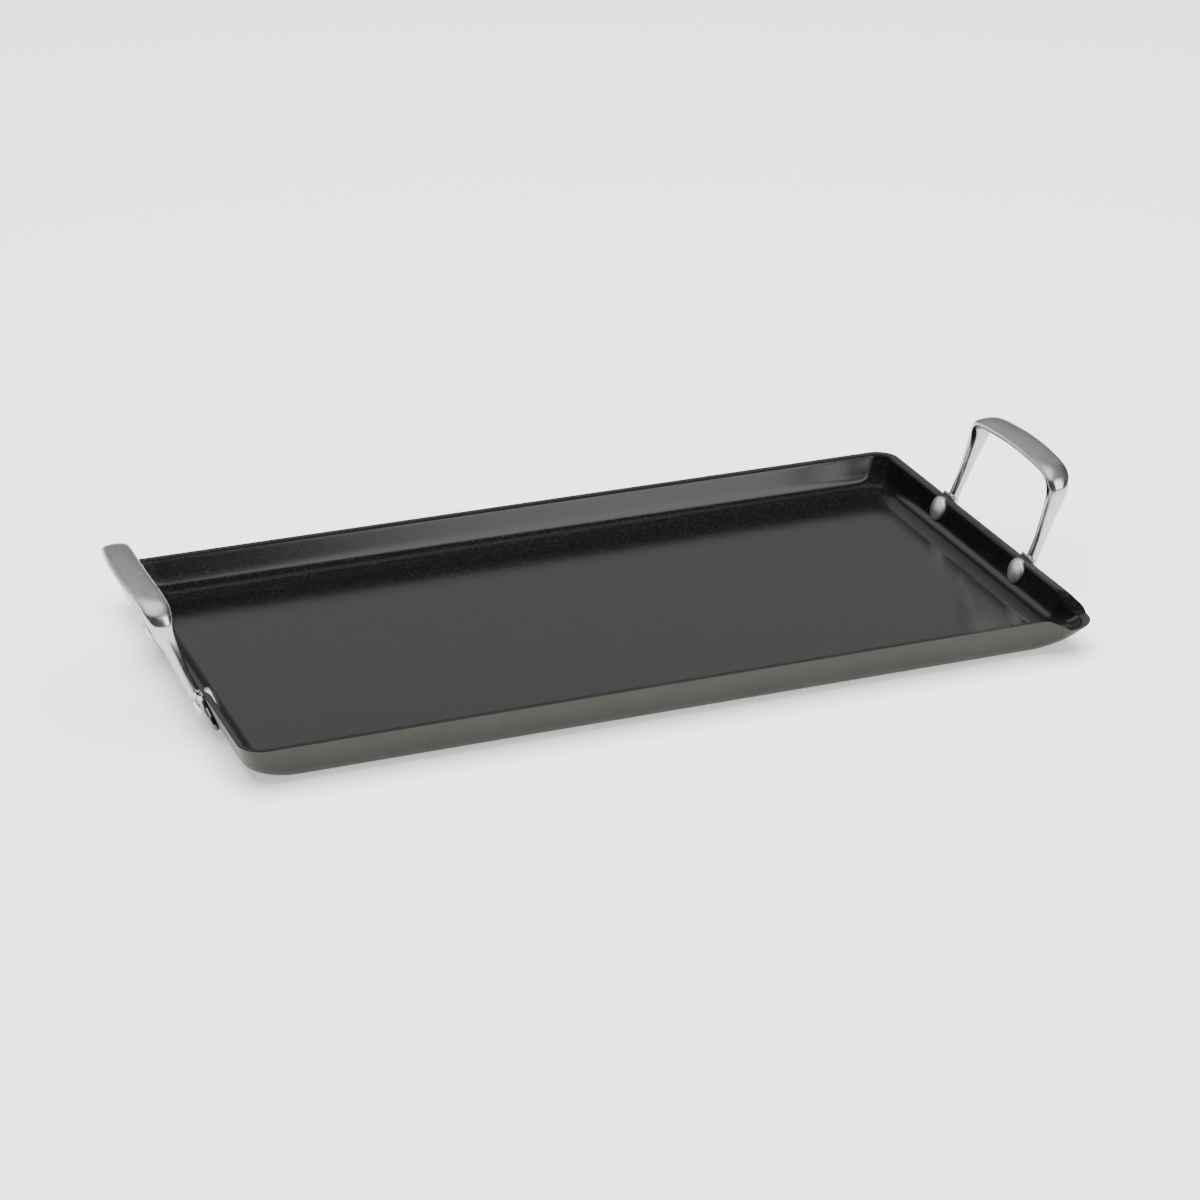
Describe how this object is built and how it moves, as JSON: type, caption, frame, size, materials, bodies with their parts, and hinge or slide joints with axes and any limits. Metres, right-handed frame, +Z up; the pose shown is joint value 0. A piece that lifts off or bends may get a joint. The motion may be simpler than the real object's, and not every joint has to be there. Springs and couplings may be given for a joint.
{
  "type": "stovetop griddle",
  "caption": "Shallow rectangular stovetop griddle of hard-anodised aluminium with a nonstick tray, a corner pouring spout and a riveted cast loop handle at each end.",
  "frame": {"origin": "centre of the flat underside of the pan, on the surface that it stands on", "axes": "+X along the length towards the end with the pouring spout, +Y across the width to the back, +Z up; the spout is in the +X, -Y corner"},
  "size_m": [0.514, 0.2519, 0.0722],
  "materials": {
    "anodised_aluminium": "hard-anodised, satin, warm dark grey",
    "nonstick": "sprayed and baked nonstick, fine speckle, semi-gloss",
    "cast_stainless": "cast stainless steel, polished, satin on top of the grip",
    "rivet_metal": "plain stainless steel, upset cold"
  },
  "bodies": {
    "root": {"pan_body": "anodised_aluminium", "nonstick_coating": "nonstick", "left_handle": "cast_stainless", "right_handle": "cast_stainless", "rivet_left_front": "rivet_metal", "rivet_left_back": "rivet_metal", "rivet_right_front": "rivet_metal", "rivet_right_back": "rivet_metal"}
  },
  "joints": []
}
